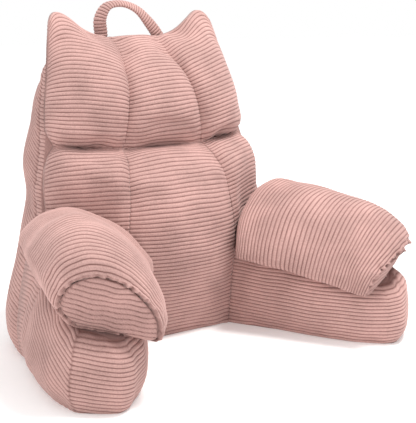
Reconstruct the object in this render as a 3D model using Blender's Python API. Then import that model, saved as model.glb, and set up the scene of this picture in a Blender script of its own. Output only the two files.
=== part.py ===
"""A reading pillow with arms, sewn from wide-ribbed cloth and filled.

It stands on the floor at z = 0 and faces -Y, and x = 0 is its plane of symmetry. The pieces are drawn
with y = 0 at the front of the back rest's foot. An empty that holds them all then brings the middle of
the back body's underside to the origin. All sizes are in metres.

A wedge-shaped body stands behind a reclined plane. A head pad and a lumbar pad, each with three sewn
channels, lie on the front of that plane. Two arms splay outwards from it: each is a base on the floor,
a bolster on top and a D-shaped panel that closes the bolster's front end. A strap handle stands on the
top of the body. The ribs of the cloth are raised in the faces: one row of points on each crest and one
in each groove.
"""

import math

import bmesh
import bpy
import numpy as np

BODY_MIDDLE_Y = 0.136

# The cloth
RIB_HEIGHT = 0.0020
RIB_SHARPNESS = math.radians(20.0)
GAP = 0.0004  # between two pieces that touch
WELD = 0.00001

# The reclined plane between the pads and the body: y = RECLINE_FOOT + RECLINE_SLOPE * z
RECLINE_FOOT = 0.025
RECLINE_SLOPE = 0.2507

# The pads. Each row: share of the way along the pad, x, y, z.
# The head pad runs up from the horizontal seam, and the lumbar pad runs down from it to the floor.
HEAD_RIBS = 27
HEAD_EDGE = (
    (0.00, 0.225, 0.122, 0.401),
    (0.11, 0.239, 0.127, 0.430),
    (0.24, 0.236, 0.136, 0.462),
    (0.48, 0.224, 0.148, 0.521),
    (0.74, 0.211, 0.164, 0.584),
    (1.00, 0.198, 0.181, 0.646),
)
HEAD_SEAM = (
    (0.00, 0.097, 0.073, 0.390),
    (0.17, 0.091, 0.066, 0.433),
    (0.34, 0.084, 0.069, 0.476),
    (0.57, 0.073, 0.092, 0.528),
    (0.81, 0.058, 0.140, 0.575),
    (1.00, 0.055, 0.186, 0.609),
)
LUMBAR_RIBS = 43
LUMBAR_EDGE = (
    (0.00, 0.225, 0.122, 0.401),
    (0.07, 0.245, 0.114, 0.378),
    (0.17, 0.257, 0.102, 0.340),
    (0.30, 0.262, 0.090, 0.285),
    (0.44, 0.246, 0.080, 0.232),
    (0.53, 0.152, 0.077, 0.214),
    (0.59, 0.1285, 0.070, 0.188),
    (1.00, 0.118, 0.023, 0.000),
)
LUMBAR_SEAM = (
    (0.00, 0.097, 0.073, 0.390),
    (0.10, 0.106, 0.035, 0.362),
    (0.17, 0.115, 0.015, 0.332),
    (0.27, 0.120, 0.002, 0.290),
    (0.50, 0.130, -0.005, 0.195),
    (0.74, 0.124, -0.002, 0.105),
    (1.00, 0.117, 0.000, 0.000),
)
# How far each channel stands out from the straight line between its seams.
# Each row: share of the way along the pad, middle channel, side channel.
HEAD_CROWN = (
    (0.00, 0.000, 0.000),
    (0.06, 0.014, 0.024),
    (0.20, 0.026, 0.038),
    (0.45, 0.030, 0.044),
    (0.75, 0.022, 0.030),
    (0.93, 0.012, 0.012),
    (1.00, 0.008, 0.000),
)
LUMBAR_CROWN = (
    (0.00, 0.000, 0.000),
    (0.05, 0.016, 0.022),
    (0.16, 0.034, 0.032),
    (0.30, 0.042, 0.013),
    (0.50, 0.046, 0.003),
    (0.60, 0.043, 0.000),
    (0.75, 0.036, 0.000),
    (0.94, 0.012, 0.000),
    (1.00, 0.002, 0.000),
)
SIDE_COLUMNS = 5
MIDDLE_COLUMNS = 5
BACK_ROWS = 7
CHANNEL_FULLNESS = 0.62  # power of the parabola across a channel: less is squarer
# The head pad's top corners: rise above the line from notch to outer edge, backward lean,
# and the powers that set where across the wing they peak and how fast they fade down the pad
EAR_RISE, EAR_LEAN, EAR_PEAK, EAR_FADE = 0.027, 0.5, 2.4, 5
PAD_THICKNESS = 0.008  # at the top edge, above the body
PAD_TOP_SHARE = 0.92  # of the head pad's height, up to where its back leaves the reclined plane

# The body. Each row: z, half-width at the front, depth behind the reclined plane, squareness of its sides
BODY_RIBS = 60
BODY_SECTIONS = (
    (0.000, 0.362, 0.222, 2.5),
    (0.100, 0.341, 0.200, 2.6),
    (0.200, 0.299, 0.185, 2.8),
    (0.260, 0.272, 0.176, 3.2),
    (0.320, 0.263, 0.165, 3.6),
    (0.400, 0.242, 0.138, 4.0),
    (0.500, 0.224, 0.098, 3.2),
    (0.560, 0.207, 0.066, 2.6),
    (0.580, 0.192, 0.050, 2.4),
)
BODY_COLUMNS = 10
SIDE_RIB_RISE = 0.35  # of the side ribs towards the back, per metre of depth
LEVEL_FOOT, LEVEL_TOP = 0.50, 0.12  # shares of the height over which that rise grows and dies away

# The arms, drawn at +X and mirrored for the left side.
# The seat between base and bolster: its height at the front inner corner, and how much it rises
# for each metre outwards and for each metre towards the back
SEAT_CORNER = (0.250, -0.310)
SEAT_Z, SEAT_RISE_OUT, SEAT_RISE_BACK = 0.110, 0.25, 0.155
ARM_SPLAY = math.radians(27.0)
BASE_RIBS = 14
# Plan of the base at the floor: inner side from the lumbar pad to the front, front, outer side to the body
BASE_INNER = ((0.127, 0.008), (0.140, -0.036), (0.172, -0.104), (0.207, -0.188), (0.256, -0.266),
              (0.300, -0.308))
BASE_FRONT = ((0.300, -0.308), (0.324, -0.315), (0.358, -0.300), (0.400, -0.266))
BASE_OUTER = ((0.400, -0.266), (0.407, -0.205), (0.393, -0.085), (0.362, 0.018))
BASE_COLUMNS = (9, 4, 8)
BASE_BULGE = 0.006
# How far the sides draw in: at the foot below this share of the height, and at the top above this share
FOOT_INSET, FOOT_SHARE = 0.012, 0.35
TOP_INSET, TOP_SHARE = 0.018, 0.78
CREASE_GAP, CREASE_DEPTH, CREASE_REACH = 0.0015, 0.05, 0.2  # beside the lumbar pad
FLANK_X, FLANK_Y = (0.30, 0.38), (-0.50, -0.06)  # where the outer side takes up the slope of the body
# The bolsters, of which the left one is filled higher towards its front. Each row: share of the length
# from the back, plan of the inner and outer edge, how far the row bows back in its middle, height of
# the section, forward lean of its top
BOLSTER_RIBS = 36
RIB_SPREAD = 0.23  # how much wider than even the rows stand at the front, and closer at the back
LEFT_ROWS = (
    (0.00, 0.106, -0.050, 0.320, 0.062, 0.024, 0.076, 0.00),
    (0.06, 0.104, -0.060, 0.340, 0.040, 0.026, 0.096, 0.00),
    (0.20, 0.134, -0.095, 0.360, -0.018, 0.026, 0.112, 0.03),
    (0.50, 0.178, -0.188, 0.390, -0.105, 0.012, 0.154, 0.15),
    (0.70, 0.195, -0.241, 0.400, -0.158, 0.004, 0.164, 0.26),
    (0.85, 0.212, -0.274, 0.404, -0.195, -0.002, 0.158, 0.34),
    (0.95, 0.228, -0.293, 0.404, -0.219, -0.002, 0.140, 0.38),
    (1.00, 0.236, -0.301, 0.400, -0.228, 0.000, 0.122, 0.40),
)
RIGHT_ROWS = (
    (0.00, 0.106, -0.050, 0.320, 0.062, 0.024, 0.076, 0.00),
    (0.06, 0.098, -0.060, 0.340, 0.040, 0.026, 0.099, 0.00),
    (0.20, 0.116, -0.095, 0.360, -0.018, 0.026, 0.113, 0.03),
    (0.50, 0.174, -0.188, 0.384, -0.105, 0.012, 0.122, 0.15),
    (0.70, 0.205, -0.238, 0.394, -0.158, 0.004, 0.122, 0.26),
    (0.85, 0.223, -0.268, 0.400, -0.195, -0.002, 0.111, 0.34),
    (0.95, 0.234, -0.287, 0.401, -0.219, -0.006, 0.090, 0.44),
    (1.00, 0.239, -0.295, 0.398, -0.226, -0.009, 0.074, 0.50),
)
# Their sections: share of the width from the inner edge, and share of the height
LEFT_SECTION = (
    (0.34, 0.00),
    (0.09, 0.00),
    (0.01, 0.12),
    (0.00, 0.34),
    (0.08, 0.58),
    (0.21, 0.80),
    (0.35, 0.94),
    (0.49, 1.00),
    (0.63, 0.99),
    (0.80, 0.87),
    (0.95, 0.60),
    (0.99, 0.26),
    (0.84, 0.00),
)
RIGHT_SECTION = (
    (0.34, 0.00),
    (0.09, 0.00),
    (0.02, 0.10),
    (0.00, 0.26),
    (0.04, 0.46),
    (0.12, 0.64),
    (0.24, 0.81),
    (0.38, 0.93),
    (0.53, 1.00),
    (0.69, 0.98),
    (0.84, 0.83),
    (0.96, 0.55),
    (0.98, 0.24),
    (0.84, 0.00),
)
# How far the lower inner edge droops where it overhangs the base. Each row: share of the length, droop
LEFT_DROOP = ((0.00, 0.000), (0.85, 0.000), (0.95, 0.006), (1.00, 0.012))
RIGHT_DROOP = ((0.00, 0.000), (0.15, 0.001), (0.50, 0.008), (0.70, 0.012), (0.85, 0.015), (1.00, 0.018))
DROOP_SHARE, DROOP_UP = 0.14, 0.6  # shares of the width and of the height that it reaches
BOLSTERS = {-1: (LEFT_ROWS, LEFT_SECTION, LEFT_DROOP), 1: (RIGHT_ROWS, RIGHT_SECTION, RIGHT_DROOP)}  # by side
BOLSTER_COLUMNS = 14
PANEL_RIBS = 12
PANEL_COLUMNS = 5
PANEL_INSET, PANEL_GAP = 0.008, 0.0015
PANEL_EDGE, PANEL_SWELL = 0.0024, 0.006  # thickness at its rim, and what its middle adds

# The handle
HANDLE_RIBS = 34
HANDLE_WIDTH, HANDLE_THICKNESS = 0.026, 0.010
HANDLE_SIDES = 6
# The middle of the strap: x, y, z
HANDLE_PATH = (
    (-0.065, 0.203, 0.5805),
    (-0.068, 0.203, 0.620),
    (-0.069, 0.203, 0.652),
    (-0.054, 0.203, 0.676),
    (-0.021, 0.203, 0.683),
    (0.019, 0.203, 0.671),
    (0.050, 0.203, 0.643),
    (0.074, 0.203, 0.613),
    (0.091, 0.203, 0.5805),
)

CLOTH_COLOUR = (0.66, 0.36, 0.33, 1.0)


def spline(table, at):
    """Smooth values at the given positions, through rows that start with their own position."""
    table = np.asarray(table, float)
    knots, values = table[:, 0], table[:, 1:]
    slopes = np.gradient(values, knots, axis=0)
    at = np.clip(np.atleast_1d(at), knots[0], knots[-1])
    i = np.clip(np.searchsorted(knots, at, side="right") - 1, 0, len(knots) - 2)
    step = (knots[i + 1] - knots[i])[:, None]
    t = ((at - knots[i]) / (knots[i + 1] - knots[i]))[:, None]
    start = values[i] * (1 + 2 * t) * (1 - t) ** 2 + values[i + 1] * t**2 * (3 - 2 * t)
    turn = slopes[i] * t * (1 - t) ** 2 - slopes[i + 1] * t**2 * (1 - t)
    return start + turn * step


def along(points, count):
    """That many points at even distances along a smooth line through the given ones."""
    points = np.asarray(points, float)
    lengths = np.linalg.norm(np.diff(points, axis=0), axis=1)
    table = np.column_stack([np.r_[0, np.cumsum(lengths)], points])
    fine = spline(table, np.linspace(0, table[-1, 0], 400))
    run = np.r_[0, np.cumsum(np.linalg.norm(np.diff(fine, axis=0), axis=1))]
    at = np.linspace(0, run[-1], count)
    return np.column_stack([np.interp(at, run, axis) for axis in fine.T])


def recline(z):
    return RECLINE_FOOT + RECLINE_SLOPE * z


def unit(vectors):
    return vectors / np.maximum(np.linalg.norm(vectors, axis=-1, keepdims=True), 1e-12)


def mirrored(points):
    return np.asarray(points) * (-1, 1, 1)


def ribbed(grid, sign=1.0, fade=1):
    """The grid with every other row raised, except near the ends of the rows."""
    normal = unit(np.cross(np.gradient(grid, axis=1), np.gradient(grid, axis=0)))
    rows, columns = grid.shape[:2]
    lift = np.zeros((rows, columns, 1))
    lift[1 : rows - 1 : 2, fade : columns - fade] = RIB_HEIGHT * sign
    return grid + lift * normal


def add_grid(bm, grid):
    """Quads over a grid of points; borders that coincide with others are welded later."""
    rows = [[bm.verts.new(point) for point in row] for row in grid]
    for low, high in zip(rows, rows[1:]):
        for i in range(len(low) - 1):
            bm.faces.new((low[i], low[i + 1], high[i + 1], high[i]))


def add_zip(bm, first, second):
    """Triangles between two lines of points that share their ends."""
    a = [bm.verts.new(point) for point in first]
    b = [bm.verts.new(point) for point in second]
    i = j = 0
    while i < len(a) - 1 or j < len(b) - 1:
        if j == len(b) - 1 or (i < len(a) - 1 and (i + 1) * (len(b) - 1) <= (j + 1) * (len(a) - 1)):
            bm.faces.new((a[i], a[i + 1], b[j]))
            i += 1
        else:
            bm.faces.new((a[i], b[j + 1], b[j]))
            j += 1


def add_piece(name, bm, collection, material):
    """Welds the patches into one closed body and makes the object."""
    bmesh.ops.remove_doubles(bm, verts=bm.verts, dist=WELD)
    bmesh.ops.dissolve_degenerate(bm, edges=bm.edges, dist=WELD)
    bmesh.ops.triangulate(bm, faces=bm.faces)
    bmesh.ops.recalc_face_normals(bm, faces=bm.faces)
    mesh = bpy.data.meshes.new(name)
    bm.to_mesh(mesh)
    bm.free()
    mesh.shade_smooth()
    mesh.set_sharp_from_angle(angle=RIB_SHARPNESS)
    mesh.materials.append(material)
    piece = bpy.data.objects.new(name, mesh)
    collection.objects.link(piece)
    return piece


def cloth_material(name, shade):
    material = bpy.data.materials.new(name)
    material.use_nodes = True
    surface = material.node_tree.nodes["Principled BSDF"]
    colour = [channel * shade for channel in CLOTH_COLOUR[:3]] + [1.0]
    surface.inputs["Base Color"].default_value = colour
    surface.inputs["Roughness"].default_value = 0.92
    surface.inputs["Metallic"].default_value = 0.0
    return material


def arch(t):
    """Height of a filled channel across its width, 0 at both seams and 1 in the middle."""
    return (4 * t * (1 - t)) ** CHANNEL_FULLNESS


def channel_points(inner, outer, crown, shares):
    """Rows of points across one channel, from its inner to its outer seam."""
    t = np.asarray(shares)[None, :, None]
    chord = inner[:, None] * (1 - t) + outer[:, None] * t
    run = np.gradient(inner + outer, axis=0)
    forward = unit(np.stack([0 * run[:, 0], -run[:, 2], run[:, 1]], axis=-1))
    forward *= np.sign(-forward[:, 1:2] + 1e-9)
    return chord + crown[:, None, None] * arch(t) * forward[:, None]


def pad_front(edge, seam, crown, ribs):
    """The front of a pad: side, middle and side channel, in rows along the ribs."""
    at = np.linspace(0, 1, 2 * ribs + 1)
    edge_line, seam_line = spline(edge, at), spline(seam, at)
    middle_crown, side_crown = spline(crown, at).T
    side = channel_points(seam_line, edge_line, side_crown, np.linspace(0, 1, SIDE_COLUMNS + 1))
    shares = np.linspace(0, 1, MIDDLE_COLUMNS + 1)
    middle = channel_points(mirrored(seam_line), seam_line, middle_crown, shares)
    return np.concatenate([mirrored(side[:, :0:-1]), middle, side[:, 1:]], axis=1)


def raise_ears(front):
    """Lifts the top corners of the head pad, less and less down its height."""
    shares = np.linspace(0, 1, SIDE_COLUMNS + 1)
    lift = EAR_RISE * np.sin(np.pi * shares**EAR_PEAK)
    across = np.r_[lift[:0:-1], np.zeros(MIDDLE_COLUMNS + 1), lift[1:]]
    rise = np.outer(np.linspace(0, 1, len(front)) ** EAR_FADE, across)
    front[..., 2] += rise
    front[..., 1] += EAR_LEAN * rise
    return front


def pad_back(front):
    """The flat back of a pad: on the reclined plane, and a little behind the top edge above the body."""
    shares = np.r_[np.linspace(0, PAD_TOP_SHARE, BACK_ROWS - 1), 1]
    levels = shares * (len(front) - 1)
    edge = np.column_stack([np.interp(levels, np.arange(len(front)), axis) for axis in front[:, -1].T])
    across = front[..., 0] / front[:, -1:, 0]
    drop = front[..., 2] - front[:, -1:, 2]
    back = np.empty((BACK_ROWS, front.shape[1], 3))
    for i, share in enumerate(shares):
        x = edge[i, 0] * (across[0] * (1 - share) + across[-1] * share)
        z = edge[i, 2] + drop[0] * (1 - share) + drop[-1] * share
        back[i] = np.column_stack([x, recline(z) - GAP, z])
    above_body = back[-1, :, 2] > BODY_SECTIONS[-1][0]
    back[-1, above_body, 1] = front[-1, above_body, 1] + PAD_THICKNESS
    return back


def make_pad(name, front, collection, material):
    bm = bmesh.new()
    back = pad_back(front)
    add_grid(bm, ribbed(front))
    add_grid(bm, back)
    for row in (0, -1):
        add_grid(bm, np.stack([front[row], back[row]]))
    for column in (0, -1):
        rim = np.concatenate([front[:1, column], back[:, column], front[-1:, column]])
        add_zip(bm, front[:, column], rim)
    return add_piece(name, bm, collection, material)


def make_body(collection, material):
    """A stack of rings: flat in front, rounded at the sides and back, with the side ribs rising."""
    rows = 2 * BODY_RIBS + 1
    height = BODY_SECTIONS[-1][0]
    levels = np.linspace(0, height, rows)
    sections = spline(BODY_SECTIONS, levels)
    angles = np.linspace(0, math.pi, BODY_COLUMNS + 1)
    rings = []
    for z, (half_width, depth, squareness) in zip(levels, sections):
        power = 2 / squareness
        x = half_width * np.sign(np.cos(angles)) * np.abs(np.cos(angles)) ** power
        y = depth * np.sin(angles) ** power
        fan = min(1.0, z / (LEVEL_FOOT * height)) * min(1.0, (height - z) / (LEVEL_TOP * height))
        heights = z + SIDE_RIB_RISE * fan * y
        rings.append(np.column_stack([x, recline(heights) + y, heights]))
    grid = np.array(rings)
    bm = bmesh.new()
    add_grid(bm, ribbed(grid, -1.0))
    front = grid[:, [0, -1]]
    add_grid(bm, front)
    for ring in (grid[0], grid[-1]):
        half = len(ring) // 2
        add_grid(bm, np.stack([ring[: half + 1], ring[half:][::-1]]))
    return add_piece("back_body", bm, collection, material)


def seat_height(x, y):
    """Height of the seat between an arm's base and its bolster, at a plan position at +X."""
    dx, dy = x - SEAT_CORNER[0], y - SEAT_CORNER[1]
    out = dx * math.cos(ARM_SPLAY) + dy * math.sin(ARM_SPLAY)
    back = dy * math.cos(ARM_SPLAY) - dx * math.sin(ARM_SPLAY)
    return SEAT_Z + SEAT_RISE_OUT * out + SEAT_RISE_BACK * back


def make_base(name, side, collection, material):
    """A stack of rings from the floor to the seat, with its back on the reclined plane."""
    sides = zip((BASE_INNER, BASE_FRONT, BASE_OUTER), BASE_COLUMNS)
    runs = [along(line, columns + 1) for line, columns in sides]
    plan = np.concatenate([runs[0], runs[1][1:], runs[2][1:]])
    lumbar_seam = sorted((z, x) for _, x, _, z in LUMBAR_SEAM)
    rows = 2 * BASE_RIBS + 1
    grid = np.empty((rows, len(plan) + 2, 3))
    centre = plan.mean(axis=0)
    outwards = unit(plan - centre)
    crease = np.clip(1 + plan[:, 1] / CREASE_DEPTH, 0, 1) * (plan[:, 0] < CREASE_REACH)
    flank = np.interp(plan[:, 0], FLANK_X, (0, 1)) * np.interp(plan[:, 1], FLANK_Y, (0, 1))
    for i, share in enumerate(np.linspace(0, 1, rows)):
        top = TOP_INSET * max(0.0, (share - TOP_SHARE) / (1 - TOP_SHARE)) ** 2
        foot = FOOT_INSET * max(0.0, 1 - share / FOOT_SHARE) ** 2
        bulge = BASE_BULGE * math.sin(math.pi * share) - top - foot * (1 - flank[:, None])
        ring = plan + bulge * (1 - crease[:, None]) * outwards
        z = share * (seat_height(ring[:, 0], ring[:, 1]) - GAP)
        half_width = spline(BODY_SECTIONS, z)[:, 0]
        beside_pad = spline(lumbar_seam, z)[:, 0] + CREASE_GAP
        ring[:, 0] -= (BODY_SECTIONS[0][1] - half_width) * flank
        ring[:, 0] += (beside_pad - BASE_INNER[0][0]) * crease
        grid[i, 1:-1] = np.column_stack([ring, z])
        for end, source in ((0, 1), (-1, -2)):
            point = grid[i, source]
            grid[i, end] = (point[0], recline(point[2]) - GAP, point[2])
    grid *= (side, 1, 1)
    wall = ribbed(grid, -side)
    wall[..., 2] = np.clip(wall[..., 2], 0, seat_height(abs(wall[..., 0]), wall[..., 1]) - GAP)
    wall[..., 1] = np.minimum(wall[..., 1], recline(wall[..., 2]) - GAP)
    bm = bmesh.new()
    add_grid(bm, wall)
    add_grid(bm, wall[:, [0, -1]])
    half = grid.shape[1] // 2
    for ring in (wall[0], wall[-1]):
        low, high = ring[: half + 1], ring[len(ring) - half - 1 :][::-1]
        add_grid(bm, np.stack([low, high]))
    return add_piece(name, bm, collection, material)


def bolster_rows(side, count):
    """Sections across a bolster of the given side, drawn at +X, from its back to its front."""
    row_table, section_table, droop_table = BOLSTERS[side]
    section = np.maximum(along(section_table, BOLSTER_COLUMNS + 1), 0)
    share, up = section.T
    tip = np.clip(1 - share / DROOP_SHARE, 0, 1) * np.clip(1 - up / DROOP_UP, 0, 1)
    rows = np.empty((count, len(section), 3))
    even = np.linspace(0, 1, count)
    at = even * (1 - RIB_SPREAD) + even**2 * RIB_SPREAD
    for i, (row, droop) in enumerate(zip(spline(row_table, at), spline(droop_table, at))):
        x_in, y_in, x_out, y_out, bow, height, lean = row
        across = np.array((x_out - x_in, y_out - y_in))
        forward = unit(np.array((across[1], -across[0])))
        push = lean * up * height - bow * 4 * share * (1 - share)
        x = x_in + across[0] * share + forward[0] * push
        y = y_in + across[1] * share + forward[1] * push
        rows[i] = np.column_stack([x, y, seat_height(x, y) + up * height + GAP - droop * tip])
    return rows


def make_bolster(name, side, collection, material):
    plain = bolster_rows(side, 2 * BOLSTER_RIBS + 1)
    rows = ribbed(plain)
    above_seat = seat_height(rows[..., 0], rows[..., 1]) + GAP
    rows[..., 2] = np.maximum(rows[..., 2], np.minimum(plain[..., 2], above_seat))
    rows *= (side, 1, 1)
    bm = bmesh.new()
    add_grid(bm, rows)
    add_grid(bm, rows[:, [0, -1]])
    half = rows.shape[1] // 2
    for ring in (rows[0], rows[-1]):
        low, high = ring[: half + 1], ring[half:][::-1]
        add_grid(bm, np.stack([low, high]))
    return add_piece(name, bm, collection, material)


def make_end_panel(name, side, collection, material):
    """The D-shaped panel on a bolster's front end, with ribs across it."""
    rim = bolster_rows(side, 2)[-1]
    normal = unit(np.cross(rim[3] - rim[0], rim[-1] - rim[0]))
    normal *= -np.sign(normal[1])
    middle = rim.mean(axis=0)
    rim = rim + PANEL_INSET * unit(middle - rim)
    half = len(rim) // 2
    rows = 2 * PANEL_RIBS + 1
    left, right = along(rim[: half + 1], rows + 1)[:-1], along(rim[half:][::-1], rows + 1)[:-1]
    shares = np.linspace(0, 1, PANEL_COLUMNS + 1)
    flat = left[:, None] * (1 - shares)[:, None] + right[:, None] * shares[:, None]
    swell = np.outer(arch(np.linspace(0, 1, rows)), arch(shares))[..., None]
    back = (flat + PANEL_GAP * normal) * (side, 1, 1)
    front = (flat + (PANEL_GAP + PANEL_EDGE + PANEL_SWELL * swell) * normal) * (side, 1, 1)
    bm = bmesh.new()
    add_grid(bm, ribbed(front, side))
    add_grid(bm, back)
    for row in (0, -1):
        add_grid(bm, np.stack([front[row], back[row]]))
    for column in (0, -1):
        add_grid(bm, np.stack([front[:, column], back[:, column]]))
    return add_piece(name, bm, collection, material)


def make_handle(collection, material):
    """A flat tube swept along the path with its ribs across, turned edge-on at the top of the loop."""
    rows = 2 * HANDLE_RIBS + 1
    path = along(HANDLE_PATH, rows)
    direction = unit(np.gradient(path, axis=0))
    direction[[0, -1]] = ((0, 0, 1), (0, 0, -1))
    depth = np.array((0.0, 1.0, 0.0))
    angles = np.linspace(0, 2 * math.pi, HANDLE_SIDES + 1)
    across = np.cross(direction, depth)
    twist = 0.5 * math.pi * np.sin(math.pi * np.linspace(0, 1, rows)[:, None]) ** 2
    wide = np.cos(twist) * across + np.sin(twist) * depth
    thin = np.cos(twist) * depth - np.sin(twist) * across
    ring = 0.5 * HANDLE_WIDTH * np.cos(angles)[None, :, None] * wide[:, None]
    ring = ring + 0.5 * HANDLE_THICKNESS * np.sin(angles)[None, :, None] * thin[:, None]
    swell = np.ones((rows, 1, 1))
    swell[1 : rows - 1 : 2] += 2 * RIB_HEIGHT / HANDLE_WIDTH
    grid = path[:, None] + ring * swell
    grid[..., 2] = np.maximum(grid[..., 2], HANDLE_PATH[0][2])
    bm = bmesh.new()
    add_grid(bm, grid)
    half = HANDLE_SIDES // 2
    for end in (grid[0], grid[-1]):
        add_grid(bm, np.stack([end[: half + 1], end[half:][::-1]]))
    return add_piece("handle", bm, collection, material)


def main():
    for old in list(bpy.data.objects):
        bpy.data.objects.remove(old, do_unlink=True)
    collection = bpy.data.collections.new("reading_pillow")
    bpy.context.scene.collection.children.link(collection)
    pads = cloth_material("pad_cloth", 1.0)
    sides = cloth_material("side_cloth", 0.92)
    make_body(collection, sides)
    head = raise_ears(pad_front(HEAD_EDGE, HEAD_SEAM, HEAD_CROWN, HEAD_RIBS))
    make_pad("head_pad", head, collection, pads)
    lumbar = pad_front(LUMBAR_EDGE, LUMBAR_SEAM, LUMBAR_CROWN, LUMBAR_RIBS)
    lumbar[0, :, 2] -= GAP
    lumbar[..., 2] = np.maximum(lumbar[..., 2], 0)
    make_pad("lumbar_pad", lumbar, collection, pads)
    for word, side in (("left", -1), ("right", 1)):
        make_base("arm_base_" + word, side, collection, sides)
        make_bolster("armrest_" + word, side, collection, pads)
        make_end_panel("end_panel_" + word, side, collection, sides)
    make_handle(collection, pads)
    middle = bpy.data.objects.new("middle_of_the_body", None)
    collection.objects.link(middle)
    for piece in collection.objects:
        if piece is not middle:
            piece.parent = middle
    middle.location.y = -BODY_MIDDLE_Y


main()
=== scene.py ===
"""Looks of a reading pillow with arms in wide-ribbed cloth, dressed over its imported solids.

Every piece is drawn as grids of points whose rows follow the cloth, in the same way as its solid and nearly
with the same sizes. A coarse grid of each padded piece but the end panels is filled by a cloth simulation.
The fine grid takes over what the filling moved, and then gets its puckers, stitches and ribs.

The pieces are drawn with y = 0 at the front of the back rest's foot, and then moved to the row's frame,
whose origin is under the middle of the back body. All sizes are in metres.
"""

import math

import bmesh
import bpy
import numpy as np
from mathutils import Matrix, Vector


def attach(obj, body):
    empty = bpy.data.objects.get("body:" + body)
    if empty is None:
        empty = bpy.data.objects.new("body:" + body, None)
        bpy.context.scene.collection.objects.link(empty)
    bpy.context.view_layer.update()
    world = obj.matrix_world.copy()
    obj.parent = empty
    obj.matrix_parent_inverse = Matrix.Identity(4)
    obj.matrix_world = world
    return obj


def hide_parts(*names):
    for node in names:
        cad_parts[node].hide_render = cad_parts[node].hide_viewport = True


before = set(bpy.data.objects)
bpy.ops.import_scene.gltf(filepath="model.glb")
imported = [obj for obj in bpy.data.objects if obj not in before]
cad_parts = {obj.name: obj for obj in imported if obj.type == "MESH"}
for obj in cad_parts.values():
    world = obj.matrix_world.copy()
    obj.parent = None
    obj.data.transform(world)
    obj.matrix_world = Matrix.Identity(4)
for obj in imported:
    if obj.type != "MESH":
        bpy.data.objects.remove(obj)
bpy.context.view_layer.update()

BODY_MIDDLE_Y = 0.136
GAP = 0.0004  # between two pieces that touch

# The cloth
RIB_PITCH = 0.0075
RIB_HEIGHT = 0.0016
CREST_SHARPNESS = 0.75  # power of the cosine across a rib: less is broader, with a narrower groove
PLAIN_RIB = 0.5  # lightness of a stretch without ribs, from 0 in a groove to 1 on a crest
ROWS_PER_RIB = 8  # of the fine grids

# How uneven each form is: height of its lumps, and about how far it is from one to the next
LUMPS = {
    "pad": (0.0014, 0.11),
    "body": (0.0022, 0.14),
    "base": (0.0030, 0.12),
    "bolster": (0.0024, 0.13),
    "panel": (0.0015, 0.05),
}
LUMPS_IN = 0.03  # how far in from a form's edges its lumps are full
# How much its ribs waver: by how many ribs, and about how far it is from one bend to the next
WAVER = {
    "pad": (0.10, 0.10),
    "body": (0.12, 0.12),
    "base": (0.22, 0.13),
    "bolster": (0.12, 0.11),
    "panel": (0.25, 0.05),
}
PUCKERS = (0.0008, 0.02)  # along the seams of the body and the bases, in the same way as the lumps
# Of the random draws. The pieces of a pair add their side to theirs.
SEEDS = {"head": 11, "lumbar": 23, "body": 41, "base": 60, "bolster": 80, "panel": 95}

# The reclined plane between the pads and the body: y = RECLINE_FOOT + RECLINE_SLOPE * z
RECLINE_FOOT = 0.025
RECLINE_SLOPE = 0.2507

# The pads. Each row: share of the way along the pad, x, y, z.
# The head pad runs up from the horizontal seam, and the lumbar pad down from it to the floor.
HEAD_RIBS = 34
HEAD_EDGE = (
    (0.00, 0.225, 0.122, 0.401),
    (0.11, 0.239, 0.127, 0.430),
    (0.24, 0.236, 0.136, 0.462),
    (0.48, 0.224, 0.148, 0.521),
    (0.74, 0.211, 0.164, 0.584),
    (1.00, 0.198, 0.181, 0.646),
)
HEAD_SEAM = (
    (0.00, 0.097, 0.073, 0.390),
    (0.17, 0.091, 0.066, 0.433),
    (0.34, 0.084, 0.069, 0.476),
    (0.57, 0.073, 0.092, 0.528),
    (0.81, 0.058, 0.140, 0.575),
    (1.00, 0.055, 0.186, 0.609),
)
LUMBAR_RIBS = 54
LUMBAR_EDGE = (
    (0.00, 0.225, 0.122, 0.401),
    (0.07, 0.245, 0.114, 0.378),
    (0.17, 0.257, 0.102, 0.340),
    (0.30, 0.262, 0.090, 0.285),
    (0.44, 0.246, 0.080, 0.232),
    (0.53, 0.152, 0.077, 0.214),
    (0.59, 0.1285, 0.070, 0.188),
    (1.00, 0.118, 0.023, 0.000),
)
LUMBAR_SEAM = (
    (0.00, 0.097, 0.073, 0.390),
    (0.10, 0.106, 0.035, 0.362),
    (0.17, 0.115, 0.015, 0.332),
    (0.27, 0.120, 0.002, 0.290),
    (0.50, 0.130, -0.005, 0.195),
    (0.74, 0.124, -0.002, 0.105),
    (1.00, 0.117, 0.000, 0.000),
)
# How far each channel stands out from the straight line between its seams.
# Each row: share of the way along the pad, middle channel, side channel.
HEAD_CROWN = (
    (0.00, 0.000, 0.000),
    (0.06, 0.014, 0.024),
    (0.20, 0.026, 0.038),
    (0.45, 0.030, 0.044),
    (0.75, 0.022, 0.030),
    (0.93, 0.012, 0.012),
    (1.00, 0.008, 0.000),
)
LUMBAR_CROWN = (
    (0.00, 0.000, 0.000),
    (0.05, 0.016, 0.022),
    (0.16, 0.034, 0.032),
    (0.30, 0.042, 0.013),
    (0.50, 0.046, 0.003),
    (0.60, 0.043, 0.000),
    (0.75, 0.036, 0.000),
    (0.94, 0.012, 0.000),
    (1.00, 0.002, 0.000),
)
# How much closer together the lumbar pad's ribs are at its top, and over what share of the way down
CROWD, CROWD_REACH = 0.12, 0.16
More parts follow.
